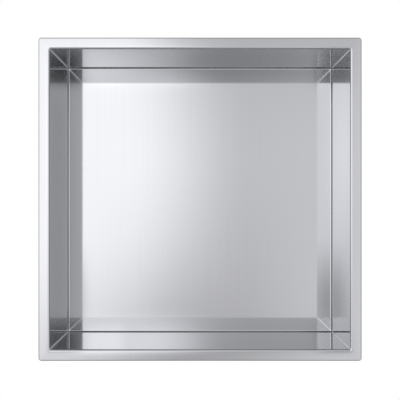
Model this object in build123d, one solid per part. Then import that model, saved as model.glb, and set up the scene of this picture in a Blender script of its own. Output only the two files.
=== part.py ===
from build123d import *
import os

# Recessed shower niche insert: one sheet of stainless steel folded into a shallow square pan.
# The back panel carries four walls folded forwards, their meeting corners are welded and dressed,
# and a narrow flange is folded outwards round the mouth to cover the edge of the cut-out in the wall.
#
# Frame, in millimetres: X to the right, Y into the wall, Z up. The origin is the centre of the
# mouth, in the plane of the flange's rear face, which is the face of the finished wall.

# Overall size, over the flange and from the front of the flange to the rear of the back panel
overall_width = 304.8
overall_height = 304.8
overall_depth = 101.6

# Sheet and flange
sheet_thickness = 1.2
flange_width = 10.7
flange_corner_radius = 2.6
flange_edge_round = 1.0

# Folds and welds, each radius measured on the inside of its bend
flange_fold_radius = 0.7
back_fold_radius = 1.4
corner_weld_radius = 1.3

# Sizes that follow from those above
mouth_width = overall_width - 2 * flange_width
mouth_height = overall_height - 2 * flange_width
flange_front = -sheet_thickness
flange_rear = 0.0
back_rear = overall_depth - sheet_thickness
back_front = back_rear - sheet_thickness

# Drawing planes: the first two have their own Y along the depth, the third faces into the wall
from_above = Plane.XY
from_side = Plane(origin=(0, 0, 0), x_dir=(0, 0, 1), z_dir=(-1, 0, 0))
from_front = Plane(origin=(0, 0, 0), x_dir=(1, 0, 0), z_dir=(0, 1, 0))


def folded_channel(plane, width, front, back, fold_radius, length):
    # A block as wide and deep as a channel that is folded along its two back edges
    outline = Pos(0, (front + back) / 2) * Rectangle(width, back - front)
    back_corners = outline.vertices().sort_by(Axis.Y)[-2:]
    return extrude(plane * fillet(back_corners, fold_radius), length / 2, both=True)


def rounded_plate(width, height, front, back, corner_radius):
    # A block square to the depth, with its four upright corners rounded
    outline = RectangleRounded(width, height, corner_radius)
    return extrude(from_front.offset(front) * outline, back - front)


def pan_block(width, height, front, back, fold_radius, corner_radius):
    # Two channels crossed, so that the folds meet in mitres at the back corners, inside a plate
    # that rounds the welded corners between the walls
    left_to_right = folded_channel(from_above, width, front, back, fold_radius, height)
    top_to_bottom = folded_channel(from_side, height, front, back, fold_radius, width)
    return left_to_right & top_to_bottom & rounded_plate(width, height, front, back, corner_radius)


def flat_face_at(shape, depth):
    # The face that lies square to the depth at the given distance into the wall
    across = shape.faces().filter_by(Axis.Y)
    return across.sort_by(lambda face: abs(face.center().Y - depth))[0]


def niche_insert():
    # One closed solid of even sheet thickness
    flange = rounded_plate(
        overall_width,
        overall_height,
        flange_front,
        flange_rear,
        flange_corner_radius,
    )
    tub = pan_block(
        mouth_width + 2 * sheet_thickness,
        mouth_height + 2 * sheet_thickness,
        flange_front,
        back_rear,
        back_fold_radius + sheet_thickness,
        corner_weld_radius + sheet_thickness,
    )
    cavity = pan_block(
        mouth_width,
        mouth_height,
        flange_front - sheet_thickness,
        back_front,
        back_fold_radius,
        corner_weld_radius,
    )
    pan = flange + tub - cavity

    # The fold from the walls to the flange: wide on the side of the room, tight on the side of the wall
    mouth_edges = flat_face_at(pan, flange_front).inner_wires()[0].edges()
    pan = fillet(mouth_edges, flange_fold_radius + sheet_thickness)
    seat_edges = flat_face_at(pan, flange_rear).inner_wires()[0].edges()
    pan = fillet(seat_edges, flange_fold_radius)

    # The cut edge of the flange is eased on the side that is touched
    rim_edges = flat_face_at(pan, flange_front).outer_wire().edges()
    return fillet(rim_edges, flange_edge_round)


os.makedirs("parts", exist_ok=True)
export_step(niche_insert(), "parts/niche_insert.step")
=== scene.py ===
import math

import bmesh
import bpy
from mathutils import Matrix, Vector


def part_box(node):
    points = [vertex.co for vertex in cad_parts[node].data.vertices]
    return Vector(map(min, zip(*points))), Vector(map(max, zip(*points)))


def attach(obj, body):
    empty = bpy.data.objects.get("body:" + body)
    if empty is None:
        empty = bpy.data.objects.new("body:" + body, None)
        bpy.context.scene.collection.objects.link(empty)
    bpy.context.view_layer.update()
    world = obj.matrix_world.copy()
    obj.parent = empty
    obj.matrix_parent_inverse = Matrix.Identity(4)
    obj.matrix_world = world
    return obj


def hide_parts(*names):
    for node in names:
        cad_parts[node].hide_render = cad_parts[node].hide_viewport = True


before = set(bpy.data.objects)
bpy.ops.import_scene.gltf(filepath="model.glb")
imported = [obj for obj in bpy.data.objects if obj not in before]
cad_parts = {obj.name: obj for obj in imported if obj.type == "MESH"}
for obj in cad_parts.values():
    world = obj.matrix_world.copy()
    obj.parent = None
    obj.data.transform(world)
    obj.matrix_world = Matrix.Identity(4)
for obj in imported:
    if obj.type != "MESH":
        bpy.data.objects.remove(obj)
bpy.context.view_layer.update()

boxLow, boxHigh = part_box("niche_insert")
mm = 0.001
quarterTurn = math.radians(90)
plainWhite = (1, 1, 1, 1)
scene = bpy.context.scene
scene.view_settings.view_transform = "Standard"
print("frame loaded")


def toLinear(hexColour):
    parts = [int(hexColour[i:i + 2], 16) / 255 for i in (1, 3, 5)]
    return [c / 12.92 if c <= 0.04045 else ((c + 0.055) / 1.055) ** 2.4 for c in parts] + [1.0]


def addNode(tree, kind, settings=None, inputs=None):
    node = tree.nodes.new(kind)
    for key, value in (settings or {}).items():
        setattr(node, key, value)
    for key, value in (inputs or {}).items():
        if isinstance(value, bpy.types.NodeSocket):
            tree.links.new(value, node.inputs[key])
        else:
            node.inputs[key].default_value = value
    return node


# The photograph looks straight into the mouth from a short way off
cameraSetup = {
    "place": (-0.0008, -0.7062, -0.005),
    "lens": 67.35,
    "sensor": 36.0,
    "shift": (0.002, 0.0113),
    "clip": (0.01, 50),
}

cameraData = bpy.data.cameras.new("photoCamera")
cameraData.lens = cameraSetup["lens"]
cameraData.sensor_width = cameraSetup["sensor"]
cameraData.shift_x, cameraData.shift_y = cameraSetup["shift"]
cameraData.clip_start, cameraData.clip_end = cameraSetup["clip"]
camera = bpy.data.objects.new("photoCamera", cameraData)
camera.location = cameraSetup["place"]
camera.rotation_euler = (quarterTurn, 0, 0)
scene.collection.objects.link(camera)
scene.camera = camera
print("camera set")


# White studio with soft boxes, strip lights and dark flags, each a soft-edged oblong as seen from
# the niche. A patch is its name, middle, reach, softness of its edges and level. Middle and reach
# are in the terms of a direction (x right, y into the wall, z up), and softness is a share of the
# reach. Level 1 is the white wall, and each patch lies over those above it in the list.
studioLight = {
    "wall": 1.0,
    "behindObject": 1.0,
    "patches": [
        ("ceiling", (0, 0, 1), (2, 2, 0.62), (0.3, 0.3, 0.3), 0.8),
        ("ground", (0, 0, -1), (2, 2, 0.62), (0.3, 0.3, 0.3), 0.5),
        ("underside", (0, 0.7, -0.8), (1.2, 0.75, 0.5), (0.4, 0.4, 0.4), 0.3),
        ("leftSide", (-0.75, -0.65, 0.25), (0.4, 0.6, 0.33), (0.5, 0.5, 0.3), 1.4),
        ("rightSide", (0.6, -0.8, 0), (0.38, 0.5, 0.5), (0.5, 0.5, 0.5), 1.2),
        ("rightFar", (0.95, -0.2, 0), (0.35, 0.45, 0.6), (0.5, 0.5, 0.5), 0.7),
        ("softBox", (-0.2175, -1, 0.0707), (0.2046, 0.5, 0.2545), (0.41, 0.3, 0.6), 1.77),
        ("topShade", (0.1579, -1, 0.3513), (0.2051, 0.5, 0.1485), (0.36, 0.3, 1.0), 0.8),
        ("lowShade", (-0.0057, -1, -0.3587), (0.0944, 0.5, 0.2414), (1.0, 0.3, 0.8), 0.64),
        ("topStrip", (-0.0726, -1, 0.1882), (0.0515, 0.5, 0.0272), (1.0, 0.3, 0.14), 2.14),
        ("topStripEnd", (-0.1238, -1, 0.1812), (0.0242, 0.5, 0.0212), (0.24, 0.3, 0.14), 2.46),
        ("leftStrip", (-0.1908, -1, 0.0729), (0.0149, 0.5, 0.0854), (1.0, 0.3, 1.0), 2.32),
        ("lowStrip", (-0.0879, -1, -0.1805), (0.0847, 0.5, 0.0252), (0.54, 0.3, 0.32), 2.07),
        ("lowFlag", (0.0413, -1, -0.1855), (0.1038, 0.5, 0.0184), (1.0, 0.3, 0.68), 0.62),
        ("rightFlag", (0.1846, -1, -0.0139), (0.017, 0.5, 0.1635), (0.32, 0.3, 0.18), 0.79),
        ("flagTopRight", (0.1788, -1, 0.1778), (0.023, 0.5, 0.0226), (0.15, 0.3, 0.15), 0.26),
        ("flagLowRight", (0.1777, -1, -0.1782), (0.0232, 0.5, 0.0226), (0.15, 0.3, 0.15), 0.12),
        ("flagLeft", (-0.1711, -1, -0.1297), (0.0191, 0.5, 0.0471), (0.3, 0.3, 1.0), 0.85),
        ("flagLowLeft", (-0.1783, -1, -0.1787), (0.0232, 0.5, 0.0229), (0.15, 0.3, 0.15), 0.58),
    ],
}

world = bpy.data.worlds.new("whiteStudio")
world.use_nodes = True
scene.world = world
tree = world.node_tree
tree.nodes.clear()
direction = addNode(tree, "ShaderNodeTexCoord").outputs["Generated"]
level = studioLight["wall"]
for name, middle, reach, soft, brightness in studioLight["patches"]:
    placed = addNode(
        tree, "ShaderNodeMapping", {"vector_type": "TEXTURE", "label": name},
        {"Vector": direction, "Location": middle, "Scale": reach},
    )
    away = addNode(
        tree, "ShaderNodeVectorMath", {"operation": "ABSOLUTE"}, {0: placed.outputs[0]}
    )
    # sockets 6 to 10 are the vector ones: value, from low, from high, to low, to high
    faded = addNode(
        tree, "ShaderNodeMapRange",
        {"data_type": "FLOAT_VECTOR", "interpolation_type": "SMOOTHSTEP"},
        {
            6: away.outputs[0],
            7: [1 - edge for edge in soft],
            8: [1 + edge for edge in soft],
            9: (1, 1, 1),
            10: (0, 0, 0),
        },
    )
    sides = addNode(tree, "ShaderNodeSeparateXYZ", None, {0: faded.outputs[1]})
    inside = sides.outputs[0]
    for axis in (1, 2):
        inside = addNode(
            tree, "ShaderNodeMath", {"operation": "MULTIPLY"}, {0: inside, 1: sides.outputs[axis]}
        ).outputs[0]
    level = addNode(tree, "ShaderNodeMix", None, {0: inside, 2: level, 3: brightness}).outputs[0]

# the camera sees plain white behind the object, the metal sees the studio
rays = addNode(tree, "ShaderNodeLightPath")
shown = addNode(
    tree, "ShaderNodeMix", None,
    {0: rays.outputs["Is Camera Ray"], 2: level, 3: studioLight["behindObject"]},
)
background = addNode(
    tree, "ShaderNodeBackground", None, {"Color": plainWhite, "Strength": shown.outputs[0]}
)
addNode(tree, "ShaderNodeOutputWorld", None, {"Surface": background.outputs[0]})
print("studio light set")


# Pale floor well below, so that neither the camera nor the flange sees it from the front. Towards
# its rim it fades to the white of the background.
floorSetup = {
    "height": -0.45,
    "radius": 0.9,
    "rimSides": 96,
    "fadeFrom": 0.35,
    "fadeTo": 0.85,
    "colour": "#DEDEDD",
    "glow": 1.0,
}

bm = bmesh.new()
bmesh.ops.create_circle(
    bm, cap_ends=True, segments=floorSetup["rimSides"], radius=floorSetup["radius"]
)
bmesh.ops.translate(bm, vec=(0, 0, floorSetup["height"]), verts=bm.verts)
floorMesh = bpy.data.meshes.new("studioFloor")
bm.to_mesh(floorMesh)
bm.free()
floor = bpy.data.objects.new("studioFloor", floorMesh)
scene.collection.objects.link(floor)

# Matt emulsion paint, rolled on: an even pale grey with no gloss
floorPaint = bpy.data.materials.new("paleMattPaint")
floorPaint.use_nodes = True
tree = floorPaint.node_tree
tree.nodes.clear()
spot = addNode(tree, "ShaderNodeTexCoord").outputs["Object"]
onFloor = addNode(
    tree, "ShaderNodeVectorMath", {"operation": "MULTIPLY"}, {0: spot, 1: (1, 1, 0)}
)
fromMiddle = addNode(
    tree, "ShaderNodeVectorMath", {"operation": "LENGTH"}, {0: onFloor.outputs[0]}
)
fade = addNode(
    tree, "ShaderNodeMapRange", {"interpolation_type": "SMOOTHSTEP"},
    {
        "Value": fromMiddle.outputs["Value"],
        "From Min": floorSetup["fadeFrom"],
        "From Max": floorSetup["fadeTo"],
    },
)
matt = addNode(tree, "ShaderNodeBsdfDiffuse", None, {"Color": toLinear(floorSetup["colour"])})
glow = addNode(
    tree, "ShaderNodeEmission", None, {"Color": plainWhite, "Strength": floorSetup["glow"]}
)
paint = addNode(
    tree, "ShaderNodeMixShader", None,
    {0: fade.outputs[0], 1: matt.outputs[0], 2: glow.outputs[0]},
)
addNode(tree, "ShaderNodeOutputMaterial", None, {"Surface": paint.outputs[0]})
floorMesh.materials.append(floorPaint)
print("floor laid")


# Stainless steel, cold rolled and then brushed up and down with a fine belt: cool grey, close to a
# mirror, with faint upright hairlines in its colour and gloss. Where the cut edge is filed it is
# rougher, and there it is also painted a darker grey, a painted shade for the dark line round the
# rim
steelFinish = {
    "darkHair": "#BBBCBF",
    "lightHair": "#C0C0C4",
    # painted shade: the darker grey below stands in for the dark line round the rim
    "paintedRimShade": "#8A8B8D",
    "edgeTint": "#F4F4F4",
    "roughness": 0.058,
    "roughnessSpread": 0.01,
    "dressedRoughness": 0.2,
    "hairWidth": 1.2 * mm,  # drawn coarser than the real 0.1 mm, which a pixel can't show
    "hairLength": 140 * mm,
    "hairDepth": 0.0005 * mm,
    "hairDetail": 3.0,
    "hairBreakUp": 0.6,
    "hairRange": (0.25, 0.75),  # where most of the noise lies
}

steel = bpy.data.materials.new("brushedStainlessSteel")
steel.use_nodes = True
tree = steel.node_tree
tree.nodes.clear()
sheetUv = addNode(tree, "ShaderNodeUVMap", {"uv_map": "sheet"})
hairScale = (1 / steelFinish["hairWidth"], 1 / steelFinish["hairLength"], 1)
grain = addNode(
    tree, "ShaderNodeMapping", None, {"Vector": sheetUv.outputs[0], "Scale": hairScale}
)
hair = addNode(
    tree, "ShaderNodeTexNoise", {"noise_dimensions": "2D"},
    {
        "Vector": grain.outputs[0],
        "Scale": 1.0,
        "Detail": steelFinish["hairDetail"],
        "Roughness": steelFinish["hairBreakUp"],
    },
)
gloss = addNode(
    tree, "ShaderNodeMapRange", None,
    {
        "Value": hair.outputs[0],
        "From Min": steelFinish["hairRange"][0],
        "From Max": steelFinish["hairRange"][1],
        "To Min": steelFinish["roughness"] - steelFinish["roughnessSpread"],
        "To Max": steelFinish["roughness"] + steelFinish["roughnessSpread"],
    },
)
# a mix node has its factor at 0, its two numbers at 2 and 3, and its two colours at 6 and 7
filedEdgeAndShade = addNode(tree, "ShaderNodeAttribute", {"attribute_name": "filedEdgeAndShade"})
dulled = addNode(
    tree, "ShaderNodeMix", None,
    {0: filedEdgeAndShade.outputs["Fac"], 2: gloss.outputs[0], 3: steelFinish["dressedRoughness"]},
)
brushed = addNode(
    tree, "ShaderNodeMix", {"data_type": "RGBA"},
    {
        0: hair.outputs[0],
        6: toLinear(steelFinish["darkHair"]),
        7: toLinear(steelFinish["lightHair"]),
    },
)
# at the cut edge the colour turns to a darker grey, painted shade for the dark line round the rim
brushedAndRimShaded = addNode(
    tree, "ShaderNodeMix", {"data_type": "RGBA"},
    {
        0: filedEdgeAndShade.outputs["Fac"],
        6: brushed.outputs[2],
        7: toLinear(steelFinish["paintedRimShade"]),
    },
)
scratch = addNode(
    tree, "ShaderNodeBump", None,
    {"Height": hair.outputs[0], "Strength": 1.0, "Distance": steelFinish["hairDepth"]},
)
metal = addNode(
    tree, "ShaderNodeBsdfPrincipled", None,
    {
        "Base Color": brushedAndRimShaded.outputs[2],
        "Metallic": 1.0,
        "Roughness": dulled.outputs[0],
        "Specular Tint": toLinear(steelFinish["edgeTint"]),
        "Normal": scratch.outputs[0],
    },
)
addNode(tree, "ShaderNodeOutputMaterial", None, {"Surface": metal.outputs[0]})
print("steel made")


# The pan: one folded sheet, drawn as two skins, the room side and the wall side, joined at the cut
# edge
panShape = {
    "sheet": 1.2 * mm,
    "flangeWidth": 10.7 * mm,
    "flangeCorner": 2.6 * mm,
    "flangeLean": 0.11 * mm,  # how far its front falls back from the fold to the rim
    "mouthFold": 1.9 * mm,  # outside of the bend
    "backFold": 1.4 * mm,  # inside of the bend
    "weldCorner": 1.3 * mm,
    "rimRound": 1.0 * mm,
    "filedAndShadedFrom": 0.02 * mm,  # past the flat of the flange
    "foldSteps": 10,
    "cornerSteps": 6,
    "rimSteps": 6,
    "outlineAhead": 50 * mm,  # where the flange's outline waits, as loops in one plane twist
    "sameDepth": 0.001 * mm,
}


def roundedOutline(bm, halfX, halfZ, depth, radius, steps):
    made = bmesh.ops.create_grid(bm, x_segments=1, y_segments=1, size=1.0)["verts"]
    bmesh.ops.scale(bm, vec=(halfX, halfZ, 1.0), verts=made)
    bmesh.ops.rotate(bm, matrix=Matrix.Rotation(quarterTurn, 3, "X"), verts=made)
    bmesh.ops.translate(bm, vec=(0, depth, 0), verts=made)
    bmesh.ops.bevel(
        bm, geom=made, offset=radius, segments=steps, profile=0.5, affect="VERTICES", material=-1
    )


def rimEdges(bm, depth):
    near = panShape["sameDepth"]
    openEdges = [e for e in bm.edges if e.is_boundary]
    return [e for e in openEdges if all(abs(v.co.y - depth) < near for v in e.verts)]


def pullRim(bm, fromDepth, toDepth, scaleX, scaleZ):
    pulled = bmesh.ops.extrude_edge_only(bm, edges=rimEdges(bm, fromDepth))["geom"]
    verts = [g for g in pulled if isinstance(g, bmesh.types.BMVert)]
    bmesh.ops.scale(bm, vec=(scaleX, 1, scaleZ), verts=verts)
    bmesh.ops.translate(bm, vec=(0, toDepth - fromDepth, 0), verts=verts)


def markFiledEdgeAndShade(bm, flatX, flatZ):
    # the cut edge of the flange, past its flat face, is filed and left rougher; the same mask
    # paints it a darker grey as painted shade for the dark line round the rim
    layer = bm.verts.layers.float.new("filedEdgeAndShade")
    for vert in bm.verts:
        past = max(abs(vert.co.x) - flatX, abs(vert.co.z) - flatZ)
        vert[layer] = 1.0 if past > 0 else 0.0


def unfoldSheet(bm, panelDepth, mouthX, mouthZ):
    # the sheet's own flat pattern in metres, so that the brushing runs on over the folds
    uvLayer = bm.loops.layers.uv.new("sheet")
    for face in bm.faces:
        middle = face.calc_center_median()
        sideways = abs(middle.x) / mouthX > abs(middle.z) / mouthZ
        for loop in face.loops:
            x, y, z = loop.vert.co
            rise = max(panelDepth - y, 0.0)
            if sideways:
                loop[uvLayer].uv = (x + math.copysign(rise, x), z)
            else:
                loop[uvLayer].uv = (x, z + math.copysign(rise, z))


def fixOrder(elements, place):
    # pulled rims come out in another order each run, so points, edges and faces go by their places
    placed = sorted(elements, key=lambda e: [round(c / panShape["sameDepth"]) for c in place(e)])
    ranks = {e: rank for rank, e in enumerate(placed)}
    elements.sort(key=lambda e: ranks[e])


def foldSkin(bm, shape, skin, outer):
    # back panel, then the fold into the walls as a quarter circle of small pulls
    mouth, bend, depth = skin["mouth"], skin["backFold"], skin["panelDepth"]
    half = [side - bend for side in mouth]
    roundedOutline(bm, *half, depth, skin["weldCorner"], shape["cornerSteps"])
    for step in range(1, shape["foldSteps"] + 1):
        turn = quarterTurn * step / shape["foldSteps"]
        nextHalf = [side - bend + bend * math.sin(turn) for side in mouth]
        nextDepth = skin["panelDepth"] - bend + bend * math.cos(turn)
        pullRim(bm, depth, nextDepth, nextHalf[0] / half[0], nextHalf[1] / half[1])
        half, depth = nextHalf, nextDepth

    # walls up to the mouth, then the flange bridged from the mouth to its own outline
    flangeDepth, lean, ahead = skin["flangeDepth"], skin["lean"], shape["outlineAhead"]
    pullRim(bm, depth, flangeDepth, 1, 1)
    mouthEdges = rimEdges(bm, flangeDepth)
    folded = set(bm.faces)
    roundedOutline(bm, *outer, flangeDepth - ahead, shape["flangeCorner"], shape["cornerSteps"])
    lid = [f for f in bm.faces if f not in folded]
    outline = [e for f in lid for e in f.edges]
    bmesh.ops.delete(bm, geom=lid, context="FACES_ONLY")
    bmesh.ops.bridge_loops(bm, edges=mouthEdges + outline)
    outlineVerts = list({v for e in outline for v in e.verts})
    bmesh.ops.translate(bm, vec=(0, ahead + lean, 0), verts=outlineVerts)
    bmesh.ops.bevel(
        bm, geom=mouthEdges, offset=skin["mouthFold"], segments=shape["foldSteps"], profile=0.5,
        affect="EDGES", material=-1,
    )
    return rimEdges(bm, flangeDepth + lean)


def buildPan(name, shape, low, high):
    sheet, outer = shape["sheet"], (high.x, high.z)
    mouth = [side - shape["flangeWidth"] for side in outer]
    roomSkin = {
        "mouth": mouth,
        "panelDepth": high.y - sheet,
        "backFold": shape["backFold"],
        "weldCorner": shape["weldCorner"],
        "flangeDepth": low.y,
        "mouthFold": shape["mouthFold"],
        "lean": shape["flangeLean"],
    }
    wallSkin = {
        "mouth": [side + sheet for side in mouth],
        "panelDepth": high.y,
        "backFold": shape["backFold"] + sheet,
        "weldCorner": shape["weldCorner"] + sheet,
        "flangeDepth": low.y + sheet,
        "mouthFold": shape["mouthFold"] - sheet,
        "lean": 0.0,  # the rear of the flange lies flat on the wall
    }
    bm = bmesh.new()
    roomRim = foldSkin(bm, shape, roomSkin, outer)
    wallRim = foldSkin(bm, shape, wallSkin, outer)
    bmesh.ops.bridge_loops(bm, edges=roomRim + wallRim)
    bmesh.ops.recalc_face_normals(bm, faces=bm.faces)

    # the cut edge of the flange is eased on the side that is touched
    bmesh.ops.bevel(
        bm, geom=roomRim, offset=shape["rimRound"], segments=shape["rimSteps"], profile=0.5,
        affect="EDGES", material=-1,
    )
    unfoldSheet(bm, roomSkin["panelDepth"], *mouth)
    markFiledEdgeAndShade(bm, *[side - shape["rimRound"] + shape["filedAndShadedFrom"] for side in outer])
    for face in bm.faces:
        face.smooth = True
    fixOrder(bm.verts, lambda vert: vert.co)
    fixOrder(bm.edges, lambda edge: edge.verts[0].co + edge.verts[1].co)
    fixOrder(bm.faces, lambda face: face.calc_center_median())
    mesh = bpy.data.meshes.new(name)
    bm.to_mesh(mesh)
    bm.free()
    pan = bpy.data.objects.new(name, mesh)
    scene.collection.objects.link(pan)
    mesh.materials.append(steel)

    # large faces set the shading, so that the flats mirror as flats and only the folds curve
    flatten = pan.modifiers.new("flatFacesStayFlat", "WEIGHTED_NORMAL")
    flatten.mode = "FACE_AREA"
    flatten.weight = 100
    flatten.keep_sharp = True
    return pan


nicheInsert = buildPan("nicheInsert", panShape, boxLow, boxHigh)
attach(nicheInsert, "root")
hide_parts("niche_insert")
print("pan folded,", len(nicheInsert.data.polygons), "faces")
